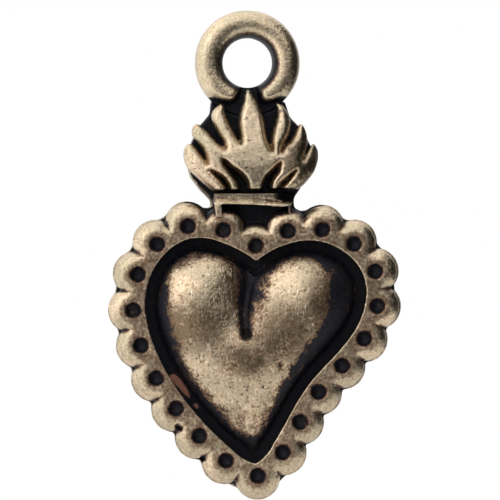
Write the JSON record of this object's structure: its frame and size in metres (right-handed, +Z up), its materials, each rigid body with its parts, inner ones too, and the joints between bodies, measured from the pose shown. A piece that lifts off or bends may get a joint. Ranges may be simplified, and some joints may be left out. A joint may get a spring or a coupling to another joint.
{
  "type": "heart charm",
  "caption": "Flat-backed heart charm with a scalloped dimpled border, a puffed heart, a flame above it and a fixed hanging ring.",
  "frame": {"origin": "centre of the hanging ring's hole, half way through the ring's depth", "axes": "+Z up along the charm from heart to ring, +Y out of its plain back, so the worked front faces -Y; +Y is also the hole's axis"},
  "size_m": [0.0132, 0.003, 0.0221],
  "materials": {
    "hanging_ring": "antiqued, worn bright",
    "back_plate": "antiqued, dark",
    "scalloped_border": "antiqued, worn bright",
    "heart_dome": "antiqued, worn bright",
    "flame": "antiqued, worn bright",
    "flame_collar": "antiqued, worn bright"
  },
  "bodies": {
    "root": {"hanging_ring": "hanging_ring", "back_plate": "back_plate", "scalloped_border": "scalloped_border", "heart_dome": "heart_dome", "flame": "flame", "flame_collar": "flame_collar"}
  },
  "joints": []
}
